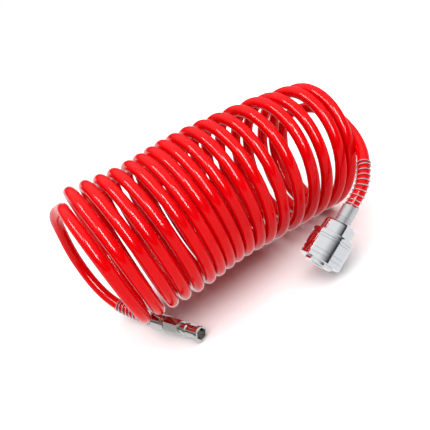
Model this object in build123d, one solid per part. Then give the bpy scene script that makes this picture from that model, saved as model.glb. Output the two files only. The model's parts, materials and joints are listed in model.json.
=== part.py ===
"""Coiled (recoil) air hose with a quick coupler on one end and a plug on the other.

The hose lies on its side: its coil runs along X, the plug lies on the floor
at the low-X end and the coupler leans on its nose at the high-X end.
Millimetres, +Z up, floor at Z 0, origin under the middle of the whole object.
"""
from build123d import *
import math
import os

# ---- hose -----------------------------------------------------------------
HOSE_OD = 8.0
HOSE_ID = 5.0
TURNS = 18
COIL_SKIN = 1.2

# Stations of the coil, one every four and a half turns from the plug end.
COIL_RADIUS = [48.0, 46.3, 45.0, 44.2, 41.6]
COIL_SIDE = [14.9, 12.0, 13.4, 14.0, 14.2]
COIL_HEIGHT = [62.9, 59.0, 58.4, 53.0, 45.1]
LEAN_UP = [-2.0, -0.4, -0.8, 6.4, 11.2]
LEAN_SIDE = [1.6, 1.7, 2.0, -0.6, -1.8]

# Gap from each turn to the next: closed, then loose, then closed again.
COIL_START = -91.1
TURN_GAPS = [9.5, 10.4, 9.6, 9.6, 10.5, 8.9, 8.6, 8.5, 8.6,
             9.5, 9.6, 10.2, 12.3, 14.0, 10.2, 13.9, 9.2, 8.9]
START_ANGLE = math.radians(-20.0)
COIL_END_TURN = 17.875

# Free stretches of the hose, from the coil to its fitting.
PLUG_TAIL_ROUTE = [(-97, 52.5, 96), (-101.5, 66, 76), (-104, 68, 52.5),
                   (-102.5, 58.5, 27), (-96.5, 43, 11.5), (-86.4, 21, 5.2)]
COUPLER_TAIL_ROUTE = [(100.3, 29, 72), (104.5, 3, 68), (101.5, -19, 55.5),
                      (94.5, -37.5, 50), (83.5, -49, 44.5), (69.3, -55.2, 37.3)]

# ---- where the fittings lie ------------------------------------------------
PLUG_HOSE_END = Vector(-80.2, 5.1, 5.2)
PLUG_AXIS = (PLUG_HOSE_END - Vector(*PLUG_TAIL_ROUTE[-1])).normalized()
COUPLER_HOSE_END = Vector(56.0, -55.8, 30.4)
COUPLER_AXIS = (COUPLER_HOSE_END - Vector(*COUPLER_TAIL_ROUTE[-1])).normalized()

# ---- shared fitting sizes ---------------------------------------------------
FERRULE_OD = 10.4
FERRULE_LENGTH = 12.6
FERRULE_WALL = 1.15
GUARD_OD = 9.8
GUARD_CLEARANCE = 0.1
PLUG_GUARD_LENGTH = 40.0
COUPLER_GUARD_LENGTH = 33.0
BARB_R = 2.45
BARB_BORE_R = 1.6
BARB_START = 0.8

# ---- plug ----------------------------------------------------------------
HEX_AF = 9.3
HEX_END = 27.4
LOCK_NECK_R = 3.7
RING_START = 31.6
RING_END = 34.6
RING_R = 4.6
NOSE_R = 4.0
RIM_START = 43.6
RIM_R = 5.0
PLUG_END = 45.8
RECESS_AF = 6.9
RECESS_DEPTH = 7.0

# ---- coupler, distances along its axis from the hose end --------------------
CUP_START = 12.9
CUP_END = 23.0
BODY_R = 10.55
CHAMBER_R = 7.0
CHAMBER_START = 13.9
THREAD_R = 9.0
GASKET_START = 16.4
GASKET_END = 16.9
SEAT_START = 19.0
STOP = 20.8
SHOULDER = 25.5
BARREL_R = 7.4
BORE_R = 5.1
LEAD_IN_R = 5.3
LEAD_IN_START = 38.8
MOUTH = 42.4
SEAT_R = 3.9
SEAL_GROOVE = (21.6, 23.6)
SEAL_GROOVE_R = 6.7
NOSE_RING_START = 38.7
NOSE_RING_R = 9.25

SLEEVE_R = 13.6
SLEEVE_START = 21.0
SLEEVE_END = 40.3
SLEEVE_BORE_R = BODY_R + 0.08
LAND_START = 33.5
LAND_END = 38.6
LAND_R = BARREL_R + 0.08
SLEEVE_FRONT_R = NOSE_RING_R + 0.1
GROOVE_FLANK = 0.2
# Start, end and depth of each flat-bottomed groove round the sleeve.
SLEEVE_GROOVES = [(24.2, 24.8, 0.7), (25.8, 26.1, 0.35), (33.8, 34.2, 0.35), (36.8, 37.2, 0.35)]
SLEEVE_SPRING_R = 9.1
SLEEVE_SPRING_WIRE_R = 0.45
SLEEVE_SPRING_TURNS = 3

BALL_R = 1.6
BALL_COUNT = 4
BALL_AT = 36.6
BALL_CENTRE_R = 5.9
BALL_CLEARANCE = 0.04
BALL_RAMP = 0.2125

POPPET_DISC = (17.3, 18.3)
POPPET_DISC_R = 6.0
POPPET_TUBE_R = 3.6
POPPET_TUBE_BORE_R = 2.4
POPPET_TUBE_END = 23.0
VALVE_SEAL_END = 18.95
VALVE_SPRING_R = 4.6
VALVE_SPRING_WIRE_R = 0.2
VALVE_SPRING_TURNS = 2


PLUG_PLANE = Plane(origin=PLUG_HOSE_END, z_dir=PLUG_AXIS)
COUPLER_PLANE = Plane(origin=COUPLER_HOSE_END, z_dir=COUPLER_AXIS)


# ---- helpers ----------------------------------------------------------------
def smooth(values, position):
    """Value at a position along evenly spaced values, on a Catmull-Rom curve."""
    last = len(values) - 1
    i = min(int(position), last - 1)
    f = position - i
    b, c = values[i], values[i + 1]
    a = values[i - 1] if i > 0 else 2 * b - c
    d = values[i + 2] if i + 2 <= last else 2 * c - b
    slope = (c - a) * f
    bend = (2 * a - 5 * b + 4 * c - d) * f ** 2
    twist = (3 * b - a - 3 * c + d) * f ** 3
    return b + 0.5 * (slope + bend + twist)


def turn_starts():
    """X of the top of each turn."""
    starts = [COIL_START]
    for gap in TURN_GAPS:
        starts.append(starts[-1] + gap)
    return starts


def ring_at(turn):
    """Centre, radius and the two leans of the coil at a turn."""
    at = turn * (len(COIL_RADIUS) - 1) / TURNS
    centre = Vector(smooth(turn_starts(), turn), smooth(COIL_SIDE, at), smooth(COIL_HEIGHT, at))
    return centre, smooth(COIL_RADIUS, at), smooth(LEAN_UP, at), smooth(LEAN_SIDE, at)


def coil_point(turn):
    """Centre of the hose at a turn."""
    centre, radius, lean_up, lean_side = ring_at(turn)
    angle = 2 * math.pi * turn + START_ANGLE
    up, side = math.cos(angle), -math.sin(angle)
    return centre + Vector(lean_up * up + lean_side * side, radius * side, radius * up)


def turned(points):
    """Solid of revolution about local Z from (radius, height) corners."""
    profile = make_face(Polyline(*points, close=True))
    return revolve(Plane.XZ * profile, Axis.Z)


def tube(outer_r, inner_r, start, end):
    """Plain ring from start to end along local Z."""
    return turned([(inner_r, start), (outer_r, start), (outer_r, end), (inner_r, end)])


def ring(major_r, minor_r, height):
    """O-ring about local Z."""
    return Pos(0, 0, height) * Torus(major_r, minor_r)


def hose_path(points, label):
    """Straight runs joined by arcs as large as the runs allow; prints the radii."""
    radii = []
    for before, here, after in zip(points, points[1:], points[2:]):
        turn = math.radians((here - before).get_angle(after - here))
        run = min((here - before).length, (after - here).length)
        radii.append(0.45 * run / math.tan(turn / 2))
    print(label, "arc radii", [round(r, 1) for r in radii])
    return FilletPolyline(*points, radius=radii)


def swept(path, outer_r, inner_r=0.0):
    """Tube of a round or ring section along a path."""
    start = Plane(origin=path @ 0, z_dir=path % 0)
    section = Circle(outer_r)
    if inner_r:
        section -= Circle(inner_r)
    return sweep(start * section, path=path)


# ---- hose ---------------------------------------------------------------
def coil_wall(offset):
    """Closed form through the coil's rings, its surface at an offset from the hose centres."""
    faces = []
    rings = [(0.0, -HOSE_OD / 2), (4.5, 0), (9.0, 0), (13.5, 0), (COIL_END_TURN, HOSE_OD / 2)]
    for turn, extra in rings:
        centre, radius, lean_up, lean_side = ring_at(turn)
        normal = Vector(1, -lean_side / radius, -lean_up / radius)
        plane = Plane(origin=centre + Vector(extra, 0, 0), x_dir=(0, 1, 0), z_dir=normal)
        faces.append(plane * Circle(radius + offset))
    return loft(faces)


def hose_coil():
    """Hollow sleeve that the eighteen turns of hose fit in."""
    return coil_wall(HOSE_OD / 2 - COIL_SKIN) - coil_wall(-HOSE_OD / 2)


def tail_points(coil_turn, route, end):
    """Corners of a free stretch, from the coil to a fitting's back face."""
    return [coil_point(coil_turn)] + [Vector(*p) for p in route] + [end]


def hose_tail(coil_turn, route, end, label):
    """Hose between the coil and a fitting."""
    path = hose_path(tail_points(coil_turn, route, end), label)
    solid = swept(path, HOSE_OD / 2)
    expected = math.pi * (HOSE_OD / 2) ** 2 * path.length
    print(label, "length", round(path.length, 1), "volume / expected", round(solid.volume / expected, 4))
    return solid


def guard_spring(coil_turn, route, end, length, label):
    """Envelope of the close-wound guard spring over the last stretch of a tail."""
    path = hose_path(tail_points(coil_turn, route, end), label)
    end_piece = path.trim(1 - length / path.length, 1)
    return swept(end_piece, GUARD_OD / 2, HOSE_OD / 2 + GUARD_CLEARANCE)


def hose_end():
    """Straight end of the hose, held in a ferrule over a barb."""
    return tube(HOSE_OD / 2, HOSE_ID / 2, 0, FERRULE_LENGTH - FERRULE_WALL)


# ---- shared fitting parts ---------------------------------------------------
def ferrule():
    """Crimped cup over the hose end, with two rolled grooves near its closed end."""
    outer = FERRULE_OD / 2
    groove = outer - 0.3
    inner = HOSE_OD / 2
    points = [(inner, 0), (outer - 0.3, 0), (outer, 0.3), (outer, 8.6), (groove, 8.8), (groove, 9.2),
              (outer, 9.4), (outer, 10.4), (groove, 10.6), (groove, 11.0), (outer, 11.2),
              (outer, FERRULE_LENGTH), (BARB_R, FERRULE_LENGTH),
              (BARB_R, FERRULE_LENGTH - FERRULE_WALL), (inner, FERRULE_LENGTH - FERRULE_WALL)]
    return turned(points)


def barb_points():
    """Outline of a ridged stem, from its open end to the ferrule's closed end."""
    points = [(BARB_BORE_R, BARB_START), (BARB_R - 0.5, BARB_START)]
    ridge = 2.4
    ridge_count = 4
    for i in range(ridge_count):
        base = BARB_START + i * ridge
        points.append((BARB_R, base + ridge - 0.4))
        points.append((BARB_R - 0.5, base + ridge))
    points.append((BARB_R, BARB_START + ridge_count * ridge + 0.5))
    return points


# ---- plug ---------------------------------------------------------------
def plug_body():
    """Plug: barbed stem, hexagon, locking neck and ring, and a rimmed nose with a hex recess."""
    points = barb_points() + [
        (BARB_R, FERRULE_LENGTH), (LOCK_NECK_R, FERRULE_LENGTH), (LOCK_NECK_R, RING_START - 0.6),
        (RING_R - 0.4, RING_START), (RING_R, RING_START + 0.5), (RING_R, RING_END - 0.8),
        (NOSE_R, RING_END), (NOSE_R, RIM_START - 0.8), (RIM_R, RIM_START),
        (RIM_R, PLUG_END - 0.4), (RIM_R - 0.4, PLUG_END), (BARB_BORE_R, PLUG_END)]
    spindle = turned(points)
    hexagon = extrude(RegularPolygon(HEX_AF / 2, 6, major_radius=False), HEX_END - FERRULE_LENGTH)
    round_ends = turned([(0, 0), (HEX_AF / 2, 0), (HEX_AF / 2 + 1.0, 0.9),
                         (HEX_AF / 2 + 1.0, HEX_END - FERRULE_LENGTH - 0.9),
                         (HEX_AF / 2, HEX_END - FERRULE_LENGTH), (0, HEX_END - FERRULE_LENGTH)])
    hexagon = Pos(0, 0, FERRULE_LENGTH) * (hexagon & round_ends)
    bore = Cylinder(BARB_BORE_R, PLUG_END, align=(Align.CENTER, Align.CENTER, Align.MIN))
    recess = Pos(0, 0, PLUG_END - RECESS_DEPTH) * extrude(
        RegularPolygon(RECESS_AF / 2, 6, major_radius=False), RECESS_DEPTH)
    return spindle + hexagon - bore - recess


# ---- coupler ------------------------------------------------------------
def coupler_tail():
    """Rear cup with the barbed stem; the body screws into it."""
    outline = barb_points() + [
        (BARB_R, CUP_START - 0.3), (6.0, CUP_START - 0.3), (6.0, CUP_START),
        (BODY_R - 1.2, CUP_START), (BODY_R, CUP_START + 1.2), (BODY_R, CUP_END),
        (THREAD_R, CUP_END), (THREAD_R, GASKET_START), (CHAMBER_R, GASKET_START),
        (CHAMBER_R, CHAMBER_START), (BARB_BORE_R, CHAMBER_START)]
    return turned(outline)


def body_gasket():
    """Flat ring that seals the screwed joint."""
    return tube(THREAD_R - 0.1, CHAMBER_R + 0.1, GASKET_START, GASKET_END)


def ball_holes():
    """Radial pockets for the locking balls, narrower where they reach the bore."""
    pockets = []
    for i in range(BALL_COUNT):
        pocket = Sphere(BALL_R + BALL_CLEARANCE) + Cylinder(
            BALL_R + BALL_CLEARANCE, BARREL_R, align=(Align.CENTER, Align.CENTER, Align.MIN))
        outward = Rot(0, 90, 0) * pocket
        pockets.append(Rot(0, 0, 360 / BALL_COUNT * i) * Pos(BALL_CENTRE_R, 0, BALL_AT) * outward)
    return pockets


def coupler_body():
    """Body: screwed tail, valve seat, seal groove, and the barrel that takes the plug."""
    groove_start, groove_end = SEAL_GROOVE
    outline = [
        (CHAMBER_R, GASKET_END), (THREAD_R, GASKET_END), (THREAD_R, CUP_END + 0.1),
        (BODY_R, CUP_END + 0.1), (BODY_R, SHOULDER), (BARREL_R, SHOULDER), (BARREL_R, MOUTH),
        (LEAD_IN_R + 0.5, MOUTH), (LEAD_IN_R, MOUTH - 0.5), (LEAD_IN_R, LEAD_IN_START),
        (BORE_R, LEAD_IN_START - 0.2), (BORE_R, groove_end),
        (SEAL_GROOVE_R, groove_end), (SEAL_GROOVE_R, groove_start), (BORE_R, groove_start),
        (BORE_R, STOP), (SEAT_R, STOP), (SEAT_R, SEAT_START), (CHAMBER_R, SEAT_START)]
    body = turned(outline)
    for pocket in ball_holes():
        body -= pocket
    return body


def nose_ring():
    """Ring pressed on the barrel's end, which stops the sleeve."""
    edge = 0.6
    return turned([(BARREL_R, NOSE_RING_START), (NOSE_RING_R, NOSE_RING_START),
                   (NOSE_RING_R, MOUTH - edge), (NOSE_RING_R - edge, MOUTH), (BARREL_R, MOUTH)])


def coupler_sleeve():
    """Pull-back sleeve with turned grooves outside and a ball ramp inside."""
    ramp_at_ball = BALL_CENTRE_R + (BALL_R + BALL_CLEARANCE) * math.hypot(1, BALL_RAMP)
    ramp_start = BALL_AT - (ramp_at_ball - LAND_R) / BALL_RAMP
    ramp_end_r = ramp_at_ball + BALL_RAMP * (LAND_END - BALL_AT)
    outside = [(SLEEVE_BORE_R, SLEEVE_START), (SLEEVE_R - 1.2, SLEEVE_START),
               (SLEEVE_R - 0.35, SLEEVE_START + 0.35), (SLEEVE_R, SLEEVE_START + 1.2)]
    for start, end, depth in SLEEVE_GROOVES:
        outside += [(SLEEVE_R, start - GROOVE_FLANK), (SLEEVE_R - depth, start),
                    (SLEEVE_R - depth, end), (SLEEVE_R, end + GROOVE_FLANK)]
    outside += [(SLEEVE_R, SLEEVE_END - 0.6), (SLEEVE_R - 0.6, SLEEVE_END)]
    inside = [(SLEEVE_FRONT_R + 1.2, SLEEVE_END), (SLEEVE_FRONT_R, SLEEVE_END - 1.0),
              (SLEEVE_FRONT_R, LAND_END), (ramp_end_r, LAND_END), (LAND_R, ramp_start),
              (LAND_R, LAND_START), (SLEEVE_BORE_R, LAND_START)]
    return turned(outside + inside)


def wire_spring(radius, wire_r, start, end, turns, cone_angle=0.0):
    """Open-coil spring of round wire about local Z, its ends inside start and end."""
    height = end - start - 2 * wire_r
    path = Helix(pitch=height / turns, height=height, radius=radius, cone_angle=cone_angle)
    section = Plane(origin=path @ 0, z_dir=path % 0) * Circle(wire_r)
    return Pos(0, 0, start + wire_r) * sweep(section, path=path, is_frenet=True)


def locking_ball(index):
    """One locking ball at its pocket."""
    return Rot(0, 0, 360 / BALL_COUNT * index) * Pos(BALL_CENTRE_R, 0, BALL_AT) * Sphere(BALL_R)


def valve_poppet():
    """Poppet: a disc behind the seat and a windowed tube that the plug pushes."""
    disc_start, disc_end = POPPET_DISC
    poppet = turned([(0, disc_start), (POPPET_DISC_R, disc_start), (POPPET_DISC_R, disc_end),
                     (POPPET_TUBE_R, disc_end), (POPPET_TUBE_R, POPPET_TUBE_END),
                     (POPPET_TUBE_BORE_R, POPPET_TUBE_END), (POPPET_TUBE_BORE_R, disc_end),
                     (0, disc_end)])
    window_r = 0.9
    window = Pos(0, 0, STOP - 0.2) * Rot(0, 90, 0) * Cylinder(window_r, 3 * POPPET_TUBE_R)
    return poppet - window - Rot(0, 0, 90) * window


def valve_seal():
    """Flat washer on the poppet that closes on the seat."""
    return tube(POPPET_DISC_R - 0.2, POPPET_TUBE_R + 0.02, POPPET_DISC[1], VALVE_SEAL_END)


def body_seal():
    """O-ring that seals on the plug's rim."""
    section_r = 0.9
    return ring(SEAL_GROOVE_R - section_r - 0.02, section_r, sum(SEAL_GROOVE) / 2)


# ---- every sub-part, by node name -------------------------------------------
def build():
    """All sub-parts in their places."""
    plug_tail = (0.0, PLUG_TAIL_ROUTE, PLUG_HOSE_END)
    coupler_tail_run = (COIL_END_TURN, COUPLER_TAIL_ROUTE, COUPLER_HOSE_END)
    parts = {
        "hose_coil": hose_coil(),
        "hose_tail_plug": hose_tail(*plug_tail, "plug tail"),
        "hose_tail_coupler": hose_tail(*coupler_tail_run, "coupler tail"),
        "plug_guard_spring": guard_spring(*plug_tail, PLUG_GUARD_LENGTH, "plug guard"),
        "coupler_guard_spring": guard_spring(*coupler_tail_run, COUPLER_GUARD_LENGTH, "coupler guard"),
        "hose_end_plug": PLUG_PLANE * hose_end(),
        "hose_end_coupler": COUPLER_PLANE * hose_end(),
        "plug_ferrule": PLUG_PLANE * ferrule(),
        "coupler_ferrule": COUPLER_PLANE * ferrule(),
        "plug_body": PLUG_PLANE * plug_body(),
    }
    sleeve_spring = wire_spring(SLEEVE_SPRING_R, SLEEVE_SPRING_WIRE_R, SHOULDER, LAND_START,
                                SLEEVE_SPRING_TURNS)
    valve_spring = wire_spring(VALVE_SPRING_R, VALVE_SPRING_WIRE_R, CHAMBER_START, POPPET_DISC[0],
                               VALVE_SPRING_TURNS)
    on_coupler = {
        "coupler_tail": coupler_tail(),
        "body_gasket": body_gasket(),
        "coupler_body": coupler_body(),
        "nose_ring": nose_ring(),
        "coupler_sleeve": coupler_sleeve(),
        "sleeve_spring": sleeve_spring,
        "valve_poppet": valve_poppet(),
        "valve_seal": valve_seal(),
        "valve_spring": valve_spring,
        "body_seal": body_seal(),
    }
    for i in range(BALL_COUNT):
        on_coupler[f"locking_ball_{i + 1}"] = locking_ball(i)
    for name, shape in on_coupler.items():
        parts[name] = COUPLER_PLANE * shape
    return parts


parts = build()
os.makedirs("parts", exist_ok=True)
for name, shape in parts.items():
    export_step(shape, f"parts/{name}.step")

whole = Compound(children=list(parts.values())).bounding_box()
print("box", whole.min, whole.max)
print("coupler X axis", COUPLER_PLANE.x_dir, "plug X axis", PLUG_PLANE.x_dir)
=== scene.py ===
"""Coiled polyurethane air hose with a quick coupler and a plug, on a pale studio floor.

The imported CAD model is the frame: metres, +Z up, floor at Z 0. The hose is one
cord from the coupler, through the coil, to the plug. Wire springs are grown by
Geometry Nodes along that cord or along the coupler's axis, and the turned
fittings keep the CAD model's shapes and get their finishes.
"""
from __future__ import annotations

import json
import logging
import math
from collections.abc import Mapping, Sequence
from dataclasses import dataclass, field
from enum import Enum

import bpy
from mathutils import Matrix, Vector

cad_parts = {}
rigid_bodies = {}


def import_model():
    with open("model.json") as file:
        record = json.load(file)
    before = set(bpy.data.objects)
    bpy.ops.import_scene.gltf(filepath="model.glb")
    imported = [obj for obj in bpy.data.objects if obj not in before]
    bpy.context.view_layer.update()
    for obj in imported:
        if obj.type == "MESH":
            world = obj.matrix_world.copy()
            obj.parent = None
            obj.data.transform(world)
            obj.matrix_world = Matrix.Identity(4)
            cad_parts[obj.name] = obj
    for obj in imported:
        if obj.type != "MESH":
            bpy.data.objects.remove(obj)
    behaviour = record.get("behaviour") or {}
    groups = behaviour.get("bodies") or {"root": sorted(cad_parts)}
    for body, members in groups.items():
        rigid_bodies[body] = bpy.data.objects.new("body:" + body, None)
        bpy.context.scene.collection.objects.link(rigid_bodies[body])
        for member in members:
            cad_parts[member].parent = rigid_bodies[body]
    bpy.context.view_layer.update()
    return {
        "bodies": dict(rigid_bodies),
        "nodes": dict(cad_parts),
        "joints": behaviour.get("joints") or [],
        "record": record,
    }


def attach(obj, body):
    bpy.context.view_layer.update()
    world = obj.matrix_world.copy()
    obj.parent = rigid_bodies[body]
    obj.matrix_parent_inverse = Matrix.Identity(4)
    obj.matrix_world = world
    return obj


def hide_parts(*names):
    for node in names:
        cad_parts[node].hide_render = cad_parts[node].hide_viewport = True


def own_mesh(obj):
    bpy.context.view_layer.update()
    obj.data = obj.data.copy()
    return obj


LOG = logging.getLogger("air_hose")
MM = 0.001


# ---- small tools --------------------------------------------------------------
def linear(colour: str) -> tuple[float, float, float, float]:
    """Turn an sRGB hex colour into Blender's linear RGBA.

    Args:
        colour: Colour such as "#E5000F".

    Returns:
        Red, green, blue and alpha, from 0 to 1.
    """
    channels = [int(colour[i : i + 2], 16) / 255 for i in (1, 3, 5)]
    red, green, blue = (
        c / 12.92 if c <= 0.04045 else ((c + 0.055) / 1.055) ** 2.4 for c in channels
    )
    return (red, green, blue, 1.0)


def add_node(
    tree: bpy.types.NodeTree,
    kind: str,
    inputs: Mapping[str | int, object] | None = None,
    **settings: object,
) -> bpy.types.Node:
    """Add a node with its settings, its values and its links.

    Args:
        tree: Tree that gets the node.
        kind: Blender's name for the node's type.
        inputs: For an input's name or number, an output to link it to or a value.
        **settings: Properties of the node.

    Returns:
        The new node.
    """
    made = tree.nodes.new(kind)
    for name, value in settings.items():
        setattr(made, name, value)
    for key, value in (inputs or {}).items():
        if isinstance(value, bpy.types.NodeSocket):
            tree.links.new(value, made.inputs[key])
        else:
            made.inputs[key].default_value = value
    return made


def new_object(name: str, data: bpy.types.ID) -> bpy.types.Object:
    """Put data in the scene as an object at the origin.

    Args:
        name: Name of the object.
        data: Mesh, curve, light or camera data.

    Returns:
        The linked object.
    """
    made = bpy.data.objects.new(name, data)
    bpy.context.scene.collection.objects.link(made)
    return made


def axis_frame(origin: Vector, along: Vector, across: Vector) -> Matrix:
    """Frame whose Z lies along a fitting.

    Args:
        origin: The frame's origin.
        along: Direction of its Z.
        across: Direction near its X.

    Returns:
        Matrix from the frame to the object's own coordinates.
    """
    z_axis = along.normalized()
    x_axis = (across - across.dot(z_axis) * z_axis).normalized()
    y_axis = z_axis.cross(x_axis)
    turn = Matrix((x_axis, y_axis, z_axis)).transposed().to_4x4()
    return Matrix.Translation(origin) @ turn


# ---- finishes -----------------------------------------------------------------
class Slot(Enum):
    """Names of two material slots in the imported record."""

    POLYURETHANE = "polyurethane_red"
    SPRING = "spring_steel"


@dataclass(frozen=True)
class Finish:
    """A real material and how its surface was made."""

    label: str
    base: str
    roughness: float
    metallic: float = 0.0

    def material(self) -> bpy.types.Material:
        """Make the Blender material, once.

        Returns:
            The material, with its pattern.
        """
        found = bpy.data.materials.get(self.label)
        if found:
            return found
        made = bpy.data.materials.new(self.label)
        made.use_nodes = True
        tree = made.node_tree
        tree.nodes.clear()
        shader = add_node(
            tree,
            "ShaderNodeBsdfPrincipled",
            {
                "Base Color": linear(self.base),
                "Metallic": self.metallic,
                "Roughness": self.roughness,
            },
        )
        add_node(tree, "ShaderNodeOutputMaterial", {"Surface": shader.outputs["BSDF"]})
        self.add_pattern(tree, shader)
        return made

    def add_pattern(self, tree: bpy.types.NodeTree, shader: bpy.types.Node) -> None:
        """Add what varies over the surface; a plain finish has nothing.

        Args:
            tree: The material's tree.
            shader: Its Principled shader.
        """


@dataclass(frozen=True)
class ExtrudedPolyurethane(Finish):
    """Opaque red polyurethane tube, extruded and wound hot on a mandrel.

    Very glossy, with a soft ripple from the die that breaks the edges of its
    highlights, and a slightly deeper red where the pigment is thicker.
    """

    deep: str = "#B40006"
    ripple_mm: float = 5.0
    ripple_depth_mm: float = 0.3
    pigment_mm: float = 30.0
    ior: float = 1.5
    # Matched to this studio's strong, narrow lights. The typical level is 0.5.
    specular_level: float = 0.16

    def add_pattern(self, tree: bpy.types.NodeTree, shader: bpy.types.Node) -> None:
        """Vary the pigment and ripple the skin.

        Args:
            tree: The material's tree.
            shader: Its Principled shader.
        """
        place = add_node(tree, "ShaderNodeTexCoord").outputs["Object"]
        pigment = add_node(
            tree,
            "ShaderNodeTexNoise",
            {"Vector": place, "Scale": 1 / (self.pigment_mm * MM), "Detail": 2.0},
        )
        amount = add_node(
            tree,
            "ShaderNodeMapRange",
            {"Value": pigment.outputs["Fac"], "From Min": 0.35, "From Max": 0.7, "To Max": 0.3},
        )
        colour = add_node(
            tree,
            "ShaderNodeMix",
            {0: amount.outputs["Result"], 6: linear(self.base), 7: linear(self.deep)},
            data_type="RGBA",
        )
        tree.links.new(colour.outputs[2], shader.inputs["Base Color"])
        ripple = add_node(
            tree,
            "ShaderNodeTexNoise",
            {"Vector": place, "Scale": 1 / (self.ripple_mm * MM), "Detail": 1.0},
        )
        bump = add_node(
            tree,
            "ShaderNodeBump",
            {
                "Height": ripple.outputs["Fac"],
                "Strength": 0.05,
                "Distance": self.ripple_depth_mm * MM,
            },
        )
        tree.links.new(bump.outputs["Normal"], shader.inputs["Normal"])
        shader.inputs["IOR"].default_value = self.ior
        shader.inputs["Specular IOR Level"].default_value = self.specular_level


@dataclass(frozen=True)
class TurnedPlating(Finish):
    """Bright plating over turned steel.

    The lathe's feed leaves fine rings round the axis, which the plating softens;
    they stretch reflections along the fitting, and handling dulls it in patches.
    """

    origin: tuple[float, float, float] = (0.0, 0.0, 0.0)
    along: tuple[float, float, float] = (0.0, 0.0, 1.0)
    across: tuple[float, float, float] = (1.0, 0.0, 0.0)
    # Real feed rings are 0.1 mm apart; these are coarser so that they show.
    ring_mm: float = 0.45
    depth_mm: float = 0.012
    patch_mm: float = 4.0
    dulling: float = 0.06

    def add_pattern(self, tree: bpy.types.NodeTree, shader: bpy.types.Node) -> None:
        """Add the turned rings and the dull patches.

        Args:
            tree: The material's tree.
            shader: Its Principled shader.
        """
        frame = axis_frame(Vector(self.origin), Vector(self.along), Vector(self.across))
        back = frame.inverted()
        place = add_node(tree, "ShaderNodeTexCoord").outputs["Object"]
        local = add_node(
            tree,
            "ShaderNodeMapping",
            {"Vector": place, "Location": back.to_translation(), "Rotation": back.to_euler()},
            vector_type="POINT",
        ).outputs["Vector"]
        split = add_node(tree, "ShaderNodeSeparateXYZ", {0: local})
        flat = add_node(
            tree, "ShaderNodeCombineXYZ", {0: split.outputs["X"], 1: split.outputs["Y"]}
        )
        radius = add_node(
            tree, "ShaderNodeVectorMath", {0: flat.outputs[0]}, operation="LENGTH"
        )
        rings_at = add_node(
            tree, "ShaderNodeCombineXYZ", {0: radius.outputs["Value"], 2: split.outputs["Z"]}
        )
        rings = add_node(
            tree,
            "ShaderNodeTexNoise",
            {"Vector": rings_at.outputs[0], "Scale": 1 / (self.ring_mm * MM), "Detail": 3.0},
        )
        bump = add_node(
            tree,
            "ShaderNodeBump",
            {
                "Height": rings.outputs["Fac"],
                "Strength": 0.5,
                "Distance": self.depth_mm * MM,
            },
        )
        tree.links.new(bump.outputs["Normal"], shader.inputs["Normal"])
        patches = add_node(
            tree,
            "ShaderNodeTexNoise",
            {"Vector": place, "Scale": 1 / (self.patch_mm * MM), "Detail": 3.0},
        )
        dull = add_node(
            tree,
            "ShaderNodeMapRange",
            {
                "Value": patches.outputs["Fac"],
                "From Min": 0.35,
                "From Max": 0.75,
                "To Min": self.roughness,
                "To Max": self.roughness + self.dulling,
            },
        )
        tree.links.new(dull.outputs["Result"], shader.inputs["Roughness"])


@dataclass(frozen=True)
class GrainedSurface(Finish):
    """Drawn, ground or moulded surface with an even fine grain in no direction."""

    grain_mm: float = 0.6
    depth_mm: float = 0.03
    shade: str = "#000000"
    shading: float = 0.15
    ior: float | None = None

    def add_pattern(self, tree: bpy.types.NodeTree, shader: bpy.types.Node) -> None:
        """Add the grain and its faint change of colour.

        Args:
            tree: The material's tree.
            shader: Its Principled shader.
        """
        place = add_node(tree, "ShaderNodeTexCoord").outputs["Object"]
        grain = add_node(
            tree,
            "ShaderNodeTexNoise",
            {"Vector": place, "Scale": 1 / (self.grain_mm * MM), "Detail": 4.0},
        )
        amount = add_node(
            tree,
            "ShaderNodeMath",
            {0: grain.outputs["Fac"], 1: self.shading},
            operation="MULTIPLY",
        )
        colour = add_node(
            tree,
            "ShaderNodeMix",
            {0: amount.outputs[0], 6: linear(self.base), 7: linear(self.shade)},
            data_type="RGBA",
        )
        tree.links.new(colour.outputs[2], shader.inputs["Base Color"])
        bump = add_node(
            tree,
            "ShaderNodeBump",
            {"Height": grain.outputs["Fac"], "Strength": 0.4, "Distance": self.depth_mm * MM},
        )
        tree.links.new(bump.outputs["Normal"], shader.inputs["Normal"])
        if self.ior is not None:
            shader.inputs["IOR"].default_value = self.ior


# ---- the hose -----------------------------------------------------------------
def smooth(values: Sequence[float], position: float) -> float:
    """Value at a position along evenly spaced values, on a Catmull-Rom curve.

    Args:
        values: The evenly spaced values.
        position: Place among them, from 0.

    Returns:
        The value there.
    """
    last = len(values) - 1
    i = min(int(position), last - 1)
    f = position - i
    b, c = values[i], values[i + 1]
    a = values[i - 1] if i > 0 else 2 * b - c
    d = values[i + 2] if i + 2 <= last else 2 * c - b
    return b + 0.5 * (
        (c - a) * f + (2 * a - 5 * b + 4 * c - d) * f**2 + (3 * b - a - 3 * c + d) * f**3
    )


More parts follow.
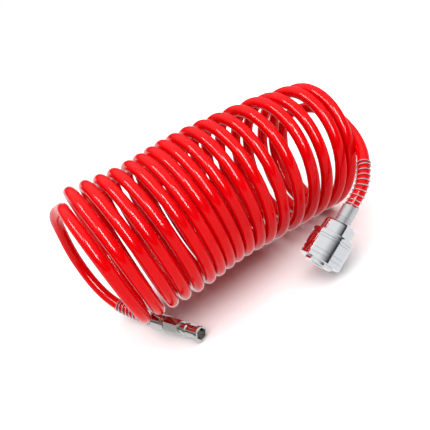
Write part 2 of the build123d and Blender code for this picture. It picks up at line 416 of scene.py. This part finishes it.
@dataclass
class Hose:
    """Eighteen loose turns of tube with a free stretch at each end. Millimetres.

    The gaps, the values spaced evenly along the coil and the points of the free
    stretches come from a least-squares fit and are rounded. They weren't chosen
    by hand.
    """

    finish: Finish
    outside_diameter: float = 8.0
    turns: float = 17.875
    points_per_turn: int = 16
    start_angle: float = math.radians(-20.0)
    coil_start: float = -91.1
    gaps: Sequence[float] = (
        9.5, 10.4, 9.6, 9.6, 10.5, 8.9, 8.6, 8.5, 8.6,
        9.5, 9.6, 10.2, 12.3, 14.0, 10.2, 13.9, 9.2, 8.9,
    )  # fmt: skip
    radii: Sequence[float] = (48.0, 46.3, 45.8, 45.2, 42.0)
    sides: Sequence[float] = (14.9, 12.0, 13.4, 14.0, 14.2)
    heights: Sequence[float] = (62.9, 59.2, 59.2, 54.0, 45.6)
    leans_up: Sequence[float] = (-2.0, -1.0, 0.2, 7.6, 12.5)
    leans_side: Sequence[float] = (1.6, 0.5, 1.7, -0.6, -1.8)
    plug_route: Sequence[tuple[float, float, float]] = (
        (-99.0, 51.5, 93.0),
        (-101.0, 65.5, 75.5),
        (-103.5, 68.0, 53.0),
        (-102.3, 58.4, 27.0),
        (-96.9, 43.2, 12.0),
        (-86.4, 21.0, 5.2),
    )
    coupler_route: Sequence[tuple[float, float, float]] = (
        (100.3, 29.0, 72.0),
        (104.4, 3.0, 68.0),
        (100.5, -18.5, 55.5),
        (91.5, -35.0, 50.0),
        (82.0, -46.5, 46.5),
        (69.3, -55.2, 37.3),
    )
    plug_end: tuple[float, float, float] = (-80.2, 5.1, 5.2)
    coupler_end: tuple[float, float, float] = (56.0, -55.8, 30.4)
    # The first quarter turn sags towards the free end that leaves it.
    sag: tuple[float, float, float] = (0.4, -2.3, -8.0)
    sag_turns: float = 0.25
    # Length of hose inside each ferrule.
    held: float = 11.4
    # Length in metres. The finished line measures 5.47.
    length_m: float = 5.4
    line: list[Vector] = field(default_factory=list)

    def coil_point(self, turn: float) -> Vector:
        """Control point of the coil.

        Args:
            turn: Turns from the plug's end.

        Returns:
            The point, just outside the turn, so that the smooth line has its size.
        """
        starts = [self.coil_start]
        for gap in self.gaps:
            starts.append(starts[-1] + gap)
        at = turn * (len(self.radii) - 1) / len(self.gaps)
        angle = 2 * math.pi * turn + self.start_angle
        stretch = 1 / math.cos(math.pi / self.points_per_turn)
        up, side = math.cos(angle) * stretch, -math.sin(angle) * stretch
        lean = smooth(self.leans_up, at) * up + smooth(self.leans_side, at) * side
        slack = max(0.0, 1 - turn / self.sag_turns)
        point = Vector(
            (
                smooth(starts, turn) + lean,
                smooth(self.sides, at) + smooth(self.radii, at) * side,
                smooth(self.heights, at) + smooth(self.radii, at) * up,
            )
        )
        return point + slack**2 * (3 - 2 * slack) * Vector(self.sag)

    def plug_axis(self) -> Vector:
        """Direction from the hose into the plug."""
        return (Vector(self.plug_end) - Vector(self.plug_route[-1])).normalized()

    def coupler_axis(self) -> Vector:
        """Direction from the hose into the coupler."""
        return (Vector(self.coupler_end) - Vector(self.coupler_route[-1])).normalized()

    def route(self) -> list[Vector]:
        """Control points of the whole hose, from the coupler to the plug.

        Returns:
            The points, in metres.
        """
        points = [
            Vector(self.coupler_end) + self.held * self.coupler_axis(),
            Vector(self.coupler_end),
        ]
        points += [Vector(p) for p in reversed(self.coupler_route)]
        steps = round(self.turns * self.points_per_turn)
        points += [self.coil_point(i / self.points_per_turn) for i in range(steps, -1, -1)]
        points += [Vector(p) for p in self.plug_route]
        points += [
            Vector(self.plug_end),
            Vector(self.plug_end) + self.held * self.plug_axis(),
        ]
        return [p * MM for p in points]

    def curve(self, name: str, thickness: float) -> bpy.types.Curve:
        """One smooth open line through the hose.

        Args:
            name: Name of the curve.
            thickness: Radius of the tube round it, in metres, or 0 for the line alone.

        Returns:
            The curve.
        """
        points = self.route()
        made = bpy.data.curves.new(name, "CURVE")
        made.dimensions = "3D"
        made.resolution_u = made.render_resolution_u = 6
        made.bevel_depth = thickness
        made.bevel_resolution = 8
        made.use_fill_caps = thickness > 0
        spline = made.splines.new("NURBS")
        spline.points.add(len(points) - 1)
        for spot, point in zip(spline.points, points):
            spot.co = (*point, 1.0)
        spline.order_u = 3
        spline.use_endpoint_u = True
        spline.use_smooth = True
        return made

    def trace(self) -> list[Vector]:
        """Points of the hose's own line.

        Returns:
            The points from the coupler's end to the plug's, in metres.
        """
        guide = new_object("guide_line", self.curve("guide_line", 0.0))
        bpy.context.view_layer.update()
        graph = bpy.context.evaluated_depsgraph_get()
        mesh = bpy.data.meshes.new_from_object(guide.evaluated_get(graph))
        points = [v.co.copy() for v in mesh.vertices]
        curve = guide.data
        bpy.data.objects.remove(guide)
        bpy.data.curves.remove(curve)
        bpy.data.meshes.remove(mesh)
        return points

    def build(self) -> bpy.types.Object:
        """Make the tube and dress it.

        Returns:
            The hose.
        """
        made = new_object("hose", self.curve("hose", self.outside_diameter / 2 * MM))
        made.data.materials.append(self.finish.material())
        self.line = self.trace()
        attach(made, "hose")
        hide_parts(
            "hose_coil",
            "hose_tail_plug",
            "hose_tail_coupler",
            "hose_end_plug",
            "hose_end_coupler",
        )
        length = sum((b - a).length for a, b in zip(self.line, self.line[1:]))
        LOG.info("hose: %d points, %.3f m along its line", len(self.line), length)
        return made


# ---- wire springs -------------------------------------------------------------
@dataclass
class WireHelix:
    """Round wire wound about a line, with coils drawn together at both ends."""

    label: str = "wire_helix"

    def tree(self) -> bpy.types.NodeTree:
        """Geometry Nodes that wind the wire, made once.

        Returns:
            The tree, with the line's mesh as its geometry.
        """
        found = bpy.data.node_groups.get(self.label)
        if found:
            return found
        tree = bpy.data.node_groups.new(self.label, "GeometryNodeTree")
        sockets = tree.interface
        sockets.new_socket("Line", in_out="INPUT", socket_type="NodeSocketGeometry")
        for name in ("Turns", "End Coils", "End Share", "Coil Radius", "Wire Radius"):
            sockets.new_socket(name, in_out="INPUT", socket_type="NodeSocketFloat")
        for name in ("Steps", "Sides"):
            sockets.new_socket(name, in_out="INPUT", socket_type="NodeSocketInt")
        sockets.new_socket("Wire", in_out="INPUT", socket_type="NodeSocketMaterial")
        sockets.new_socket("Spring", in_out="OUTPUT", socket_type="NodeSocketGeometry")
        given = add_node(tree, "NodeGroupInput").outputs
        line = add_node(tree, "GeometryNodeMeshToCurve", {"Mesh": given["Line"]})
        even = add_node(
            tree,
            "GeometryNodeResampleCurve",
            {"Curve": line.outputs["Curve"], "Count": given["Steps"]},
            mode="COUNT",
        )
        share = add_node(tree, "GeometryNodeSplineParameter").outputs["Factor"]
        near_start = add_node(
            tree,
            "ShaderNodeMapRange",
            {"Value": share, 1: 0.0, 2: given["End Share"], 3: 0.0, 4: given["End Coils"]},
            interpolation_type="LINEAR",
        )
        other_share = add_node(
            tree, "ShaderNodeMath", {0: 1.0, 1: given["End Share"]}, operation="SUBTRACT"
        )
        near_end = add_node(
            tree,
            "ShaderNodeMapRange",
            {"Value": share, 1: other_share.outputs[0], 2: 1.0, 3: 0.0, 4: given["End Coils"]},
            interpolation_type="LINEAR",
        )
        middle = add_node(
            tree, "ShaderNodeMath", {0: share, 1: given["Turns"]}, operation="MULTIPLY"
        )
        ends = add_node(
            tree,
            "ShaderNodeMath",
            {0: near_start.outputs["Result"], 1: near_end.outputs["Result"]},
            operation="ADD",
        )
        turns = add_node(
            tree, "ShaderNodeMath", {0: middle.outputs[0], 1: ends.outputs[0]}, operation="ADD"
        )
        angle = add_node(
            tree, "ShaderNodeMath", {0: turns.outputs[0], 1: 2 * math.pi}, operation="MULTIPLY"
        )
        cosine = add_node(tree, "ShaderNodeMath", {0: angle.outputs[0]}, operation="COSINE")
        sine = add_node(tree, "ShaderNodeMath", {0: angle.outputs[0]}, operation="SINE")
        normal = add_node(tree, "GeometryNodeInputNormal").outputs["Normal"]
        tangent = add_node(tree, "GeometryNodeInputTangent").outputs["Tangent"]
        across = add_node(
            tree, "ShaderNodeVectorMath", {0: tangent, 1: normal}, operation="CROSS_PRODUCT"
        )
        one = add_node(
            tree,
            "ShaderNodeVectorMath",
            {0: normal, "Scale": cosine.outputs[0]},
            operation="SCALE",
        )
        other = add_node(
            tree,
            "ShaderNodeVectorMath",
            {0: across.outputs[0], "Scale": sine.outputs[0]},
            operation="SCALE",
        )
        spoke = add_node(
            tree, "ShaderNodeVectorMath", {0: one.outputs[0], 1: other.outputs[0]}, operation="ADD"
        )
        reach = add_node(
            tree,
            "ShaderNodeVectorMath",
            {0: spoke.outputs[0], "Scale": given["Coil Radius"]},
            operation="SCALE",
        )
        wound = add_node(
            tree,
            "GeometryNodeSetPosition",
            {"Geometry": even.outputs["Curve"], "Offset": reach.outputs[0]},
        )
        section = add_node(
            tree,
            "GeometryNodeCurvePrimitiveCircle",
            {"Resolution": given["Sides"], "Radius": given["Wire Radius"]},
            mode="RADIUS",
        )
        wire = add_node(
            tree,
            "GeometryNodeCurveToMesh",
            {
                "Curve": wound.outputs["Geometry"],
                "Profile Curve": section.outputs["Curve"],
                "Fill Caps": True,
            },
        )
        soft = add_node(tree, "GeometryNodeSetShadeSmooth", {"Geometry": wire.outputs["Mesh"]})
        real = add_node(
            tree, "GeometryNodeRealizeInstances", {"Geometry": soft.outputs["Geometry"]}
        )
        dressed = add_node(
            tree,
            "GeometryNodeSetMaterial",
            {"Geometry": real.outputs["Geometry"], "Material": given["Wire"]},
        )
        add_node(tree, "NodeGroupOutput", {"Spring": dressed.outputs["Geometry"]})
        return tree


def grown(
    name: str,
    line: Sequence[Vector],
    tree: bpy.types.NodeTree,
    values: Mapping[str, object],
) -> bpy.types.Object:
    """Grow a piece along a line and keep it as a plain mesh.

    Args:
        name: Name of the piece.
        line: Points of the line, in metres.
        tree: Geometry Nodes that grow it.
        values: Value of each named input.

    Returns:
        The piece, with no modifier left.
    """
    path = bpy.data.meshes.new(name + "_line")
    path.from_pydata(line, [(i, i + 1) for i in range(len(line) - 1)], [])
    piece = new_object(name, path)
    grower = piece.modifiers.new("grow", "NODES")
    grower.node_group = tree
    for item in tree.interface.items_tree:
        if item.item_type == "SOCKET" and item.in_out == "INPUT" and item.name in values:
            grower[item.identifier] = values[item.name]
    bpy.context.view_layer.update()
    graph = bpy.context.evaluated_depsgraph_get()
    mesh = bpy.data.meshes.new_from_object(piece.evaluated_get(graph))
    piece.modifiers.clear()
    piece.data = mesh
    mesh.name = name
    bpy.data.meshes.remove(path)
    return piece


@dataclass
class Spring:
    """One spring of round wire. Millimetres."""

    name: str
    node: str
    body: str
    finish: Finish
    turns: float
    coil_radius: float
    wire_radius: float
    end_coils: float = 0.8
    end_share: float = 0.04
    steps_per_turn: int = 28
    sides: int = 10
    # Joint that closes the spring, and how much of its length is left then.
    joint: str = ""
    kept: float = 1.0

    def build(self, line: Sequence[Vector]) -> bpy.types.Object:
        """Wind the spring along a line.

        Args:
            line: Points of the line, in metres.

        Returns:
            The spring, riding on its body.
        """
        whole = self.turns + 2 * self.end_coils
        made = grown(
            self.name,
            line,
            WireHelix().tree(),
            {
                "Turns": self.turns,
                "End Coils": self.end_coils,
                "End Share": self.end_share,
                "Coil Radius": self.coil_radius * MM,
                "Wire Radius": self.wire_radius * MM,
                "Steps": round(whole * self.steps_per_turn) * 2,
                "Sides": self.sides,
                "Wire": self.finish.material(),
            },
        )
        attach(made, self.body)
        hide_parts(self.node)
        if self.joint:
            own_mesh(made)
        LOG.info("%s: %d faces", self.name, len(made.data.polygons))
        return made


# ---- fittings -----------------------------------------------------------------
@dataclass
class Fitting:
    """Pieces of one fitting that keep the CAD model's shape and get their finish."""

    name: str
    finishes: Mapping[str, Finish]

    def dress(self, nodes: Mapping[str, bpy.types.Object]) -> list[bpy.types.Object]:
        """Give each CAD piece its finish.

        Args:
            nodes: The frame's nodes.

        Returns:
            The dressed pieces.
        """
        dressed = []
        for node_name, finish in self.finishes.items():
            piece = nodes[node_name]
            for place in piece.material_slots:
                place.material = finish.material()
            dressed.append(piece)
            LOG.info("%s: %s in %s", self.name, node_name, finish.label)
        return dressed


# ---- camera, floor and light ----------------------------------------------------
@dataclass
class Viewpoint:
    """Where the camera stands, in millimetres, and how it is held."""

    place: tuple[float, float, float] = (-96.3, -292.4, 197.7)
    ahead: tuple[float, float, float] = (0.2536, 0.8641, -0.4347)
    up: tuple[float, float, float] = (0.5323, 0.2505, 0.8086)
    lens: float = 41.79

    def build(self) -> bpy.types.Object:
        """Make the scene's camera.

        Returns:
            The camera.
        """
        data = bpy.data.cameras.new("camera")
        data.sensor_width = 36.0
        data.lens = self.lens
        data.clip_start, data.clip_end = 0.01, 50.0
        made = new_object("camera", data)
        back = -Vector(self.ahead).normalized()
        right = Vector(self.up).cross(back).normalized()
        upward = back.cross(right)
        turn = Matrix((right, upward, back)).transposed().to_4x4()
        made.matrix_world = Matrix.Translation(Vector(self.place) * MM) @ turn
        bpy.context.scene.camera = made
        return made


@dataclass(frozen=True)
class SoftBox:
    """A square or long soft light aimed at the hose. Metres and watts."""

    name: str
    place: tuple[float, float, float]
    size: tuple[float, float]
    power: float
    target: tuple[float, float, float] = (0.0, 0.0, 0.05)

    def build(self) -> bpy.types.Object:
        """Hang the light.

        Returns:
            The light.
        """
        data = bpy.data.lights.new(self.name, "AREA")
        data.shape = "RECTANGLE"
        data.size, data.size_y = self.size
        data.energy = self.power
        made = new_object(self.name, data)
        # The ceiling lights the colours evenly; these give only the highlights.
        made.visible_diffuse = False
        made.location = self.place
        aim = Vector(self.target) - Vector(self.place)
        made.rotation_mode = "QUATERNION"
        made.rotation_quaternion = aim.to_track_quat("-Z", "Y")
        return made


def shine_only_on(piece: bpy.types.Object, lights: Sequence[bpy.types.Object]) -> None:
    """Keep lights off everything but one piece, as flags do in a studio.

    Args:
        piece: The piece that keeps their highlights.
        lights: The lights.
    """
    receivers = bpy.data.collections.new(f"{piece.name}_highlights")
    receivers.objects.link(piece)
    for light in lights:
        light.light_linking.receiver_collection = receivers


@dataclass
class Studio:
    """Pale floor and room, an even ceiling, and lights that only add highlights."""

    floor_finish: Finish
    floor_half: float = 60.0
    lights: Sequence[SoftBox] = (
        SoftBox("front_light", (-0.17, -0.70, 0.74), (0.26, 0.7), 30.0),
        SoftBox("top_light", (-0.45, 0.02, 0.94), (0.9, 0.22), 14.0),
    )
    ceiling_strength: float = 3.3
    ceiling_degrees: float = 100.0
    room_strength: float = 1.25

    def build_floor(self) -> bpy.types.Object:
        """Lay the floor.

        Returns:
            The floor, which isn't part of the object.
        """
        h = self.floor_half
        mesh = bpy.data.meshes.new("floor")
        mesh.from_pydata([(-h, -h, 0), (h, -h, 0), (h, h, 0), (-h, h, 0)], [], [(0, 1, 2, 3)])
        floor = new_object("floor", mesh)
        mesh.materials.append(self.floor_finish.material())
        # The near side of the coil shows its own red, not the paper's white.
        floor.visible_glossy = False
        return floor

    def build_surroundings(self) -> None:
        """Light the scene from a pale room with dark walls; the camera sees white."""
        world = bpy.data.worlds.new("studio_room")
        bpy.context.scene.world = world
        world.use_nodes = True
        tree = world.node_tree
        tree.nodes.clear()
        direction = add_node(tree, "ShaderNodeTexCoord").outputs["Generated"]
        height = add_node(tree, "ShaderNodeSeparateXYZ", {0: direction}).outputs["Z"]
        ramp = add_node(tree, "ShaderNodeValToRGB", {"Fac": height})
        bands = ramp.color_ramp.elements
        bands[0].position, bands[0].color = 0.0, linear("#E2E2E4")
        bands[1].position, bands[1].color = 0.8, linear("#E8E8E8")
        # Dark walls stand round the room, between the paper and the ceiling.
        for position, shade in ((0.03, "#E2E2E4"), (0.05, "#1C1C1E"), (0.22, "#4A4A4C")):
            bands.new(position).color = linear(shade)
        room = add_node(
            tree,
            "ShaderNodeBackground",
            {"Color": ramp.outputs["Color"], "Strength": self.room_strength},
        )
        backdrop = add_node(
            tree, "ShaderNodeBackground", {"Color": linear("#FFFFFF"), "Strength": 1.0}
        )
        seen = add_node(tree, "ShaderNodeLightPath").outputs["Is Camera Ray"]
        both = add_node(
            tree,
            "ShaderNodeMixShader",
            {0: seen, 1: room.outputs["Background"], 2: backdrop.outputs["Background"]},
        )
        add_node(tree, "ShaderNodeOutputWorld", {"Surface": both.outputs["Shader"]})

    def build_ceiling(self) -> None:
        """Light the whole floor evenly from above, as a lit ceiling does."""
        data = bpy.data.lights.new("ceiling_light", "SUN")
        data.energy = self.ceiling_strength
        data.angle = math.radians(self.ceiling_degrees)
        new_object("ceiling_light", data).visible_glossy = False

    def build(self, shone_on: bpy.types.Object) -> None:
        """Make the floor, the surroundings and the lights.

        Args:
            shone_on: The one piece that gets the soft boxes' highlights.
        """
        self.build_floor()
        self.build_surroundings()
        boxes = [light.build() for light in self.lights]
        self.build_ceiling()
        view = bpy.context.scene.view_settings
        view.view_transform = "Standard"
        view.look = "None"
        shine_only_on(shone_on, boxes)


# ---- the whole object -----------------------------------------------------------
def part_of_line(line: Sequence[Vector], start: float, length: float) -> list[Vector]:
    """Cut a stretch out of a line.

    Args:
        line: Points, in metres.
        start: Distance along it to the stretch, in metres.
        length: Length of the stretch, in metres.

    Returns:
        The stretch's points, with its exact ends.
    """
    marks = [0.0]
    for a, b in zip(line, line[1:]):
        marks.append(marks[-1] + (b - a).length)
    cuts = (start, start + length)
    points = []
    for i in range(len(line) - 1):
        for cut in cuts:
            if marks[i] <= cut < marks[i + 1]:
                share = (cut - marks[i]) / (marks[i + 1] - marks[i])
                points.append(line[i].lerp(line[i + 1], share))
        if cuts[0] < marks[i + 1] < cuts[1]:
            points.append(line[i + 1])
    return points


def build_guards(hose: Hose, wire: Finish) -> list[bpy.types.Object]:
    """Wind the guard spring at each end of the hose.

    Args:
        hose: The hose, already traced.
        wire: Finish of the wire.

    Returns:
        The coupler's guard and the plug's.
    """
    coil_radius, wire_radius, clear = 4.5, 0.4, 0.4
    total = sum((b - a).length for a, b in zip(hose.line, hose.line[1:])) / MM
    coupler_length, plug_length = 32.2, 39.2
    starts = (hose.held + clear, total - hose.held - clear - plug_length)
    return [
        Spring(
            f"{name}_guard_wire", f"{name}_guard_spring", "hose", wire, turns, coil_radius,
            wire_radius,
        ).build(part_of_line(hose.line, start * MM, length * MM))
        for name, turns, start, length in (
            ("coupler", 9.0, starts[0], coupler_length),
            ("plug", 11.0, starts[1], plug_length),
        )
    ]  # fmt: skip


def build_return_springs(
    hose: Hose, across: tuple[float, float, float], wire: Finish
) -> list[bpy.types.Object]:
    """Wind the two springs inside the coupler at their open length; the real ones close up as it
    is worked.

    Args:
        hose: The hose.
        across: Direction across the coupler.
        wire: Finish of the wire.

    Returns:
        The sleeve's spring and the valve's.
    """
    place = axis_frame(Vector(hose.coupler_end), hose.coupler_axis(), Vector(across))
    # Turns, coil and wire radius, first and last centre of the wire on the axis.
    springs = (
        ("sleeve", 3.0, 9.1, 0.45, (25.95, 33.05), 0.485),
        ("valve", 2.0, 4.6, 0.2, (14.1, 17.1), 0.4),
    )
    return [
        Spring(
            f"{name}_return_wire", f"{name}_spring", "hose", wire, turns, coil_radius,
            wire_radius, end_coils=0.0, joint=f"{name}_slide", kept=kept,
        ).build([place @ Vector((0, 0, z)) * MM for z in ends])
        for name, turns, coil_radius, wire_radius, ends, kept in springs
    ]  # fmt: skip


def dress_fittings(
    hose: Hose, across: tuple[float, float, float], nodes: Mapping[str, bpy.types.Object]
) -> list[bpy.types.Object]:
    """Give the plug and the coupler their finishes.

    Args:
        hose: The hose.
        across: Direction across the coupler.
        nodes: The frame's nodes.

    Returns:
        The dressed pieces, the plug's first.
    """
    plug_at = {
        "origin": tuple(Vector(hose.plug_end) * MM),
        "along": tuple(hose.plug_axis()),
        "across": (-0.931674, -0.363294, 0.0),
    }
    coupler_at = {
        "origin": tuple(Vector(hose.coupler_end) * MM),
        "along": tuple(hose.coupler_axis()),
        "across": across,
    }
    chrome = TurnedPlating("chromed_turned_steel", "#DCDDE0", 0.07, 1.0, **coupler_at)
    nickel = TurnedPlating("nickel_plated_steel", "#C6C4BF", 0.2, 1.0, **coupler_at)
    plug_nickel = TurnedPlating("nickel_plated_plug_steel", "#C6C4BF", 0.18, 1.0, **plug_at)
    rubber = GrainedSurface("moulded_nitrile_rubber", "#121212", 0.55, ior=1.52)
    nylon = GrainedSurface("moulded_white_nylon", "#EDEAE2", 0.4, shade="#B9B4A6", ior=1.53)
    ball_steel = GrainedSurface("polished_ball_steel", "#D3D5D8", 0.08, 1.0, depth_mm=0.002)
    plug = Fitting("plug", {"plug_ferrule": plug_nickel, "plug_body": plug_nickel})
    coupler = Fitting(
        "coupler",
        {
            "coupler_ferrule": nickel,
            "coupler_tail": chrome,
            "body_gasket": rubber,
            "coupler_body": chrome,
            "nose_ring": chrome,
            "coupler_sleeve": chrome,
            "valve_poppet": nylon,
            "valve_seal": rubber,
            "body_seal": rubber,
            **{f"locking_ball_{number}": ball_steel for number in range(1, 5)},
        },
    )
    return [*plug.dress(nodes), *coupler.dress(nodes)]


def main() -> None:
    """Build the camera, the hose, its springs and fittings, and the studio."""
    logging.basicConfig(level=logging.INFO, format="%(name)s %(message)s")
    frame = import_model()
    Viewpoint().build()

    hose = Hose(ExtrudedPolyurethane("extruded_polyurethane", "#D80006", 0.12))
    tube = hose.build()
    across = (0.460512, 0.0, -0.887653)
    wire = GrainedSurface("zinc_plated_spring_wire", "#DEDFE1", 0.22, 1.0, grain_mm=0.5)
    springs = build_guards(hose, wire) + build_return_springs(hose, across, wire)
    fittings = dress_fittings(hose, across, frame["nodes"])

    paper = GrainedSurface("studio_paper", "#F6F6F6", 0.9, grain_mm=3.0, shading=0.02)
    Studio(paper).build(tube)


if __name__ == "__main__":
    main()
